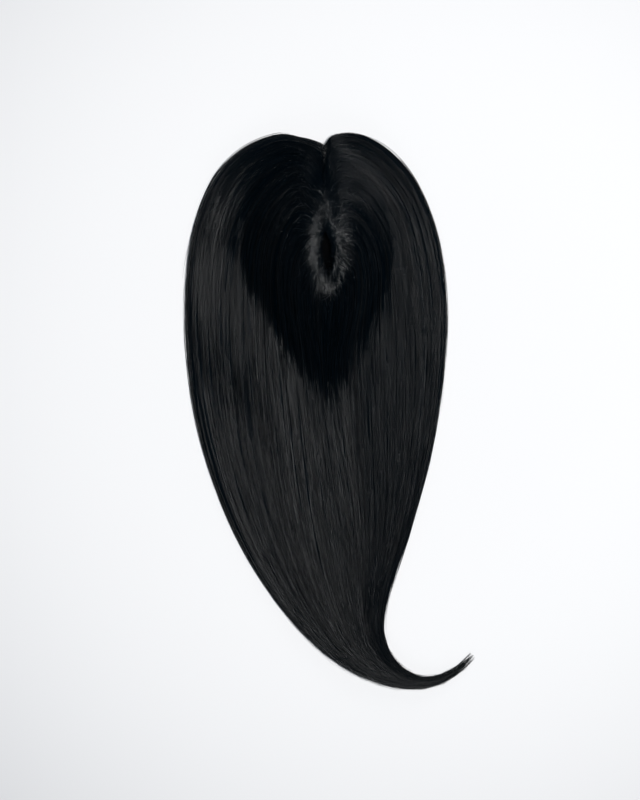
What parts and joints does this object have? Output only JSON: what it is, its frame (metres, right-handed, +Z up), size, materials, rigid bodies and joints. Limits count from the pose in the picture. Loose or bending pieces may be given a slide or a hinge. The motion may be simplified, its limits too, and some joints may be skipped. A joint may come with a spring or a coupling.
{
  "type": "toupee hairpiece",
  "caption": "Long straight dark toupee with a centre parting and crown whorl, on a domed clip-in base, lying flat with its tail curled to one side.",
  "frame": {"origin": "centre of the bounding box's footprint, on the surface that the hairpiece lies on", "axes": "+Y from the tail to the front hairline, +Z up from the surface, +X to the side that the tail curls to"},
  "size_m": [0.2464, 0.4734, 0.0357],
  "materials": {
    "hair": "black straight hair, satin sheen along the strands",
    "cap": "fine black-brown net, matte",
    "panel": "pale skin-like film, matte",
    "clip": "black enamelled spring steel, satin"
  },
  "bodies": {
    "root": {"hair_left": "hair", "hair_right": "hair", "hair_crown": "hair", "base_cap": "cap", "parting_panel": "panel", "snap_clip_front_right": "clip", "snap_clip_front_left": "clip", "snap_clip_back_left": "clip", "snap_clip_back_right": "clip"}
  },
  "joints": []
}
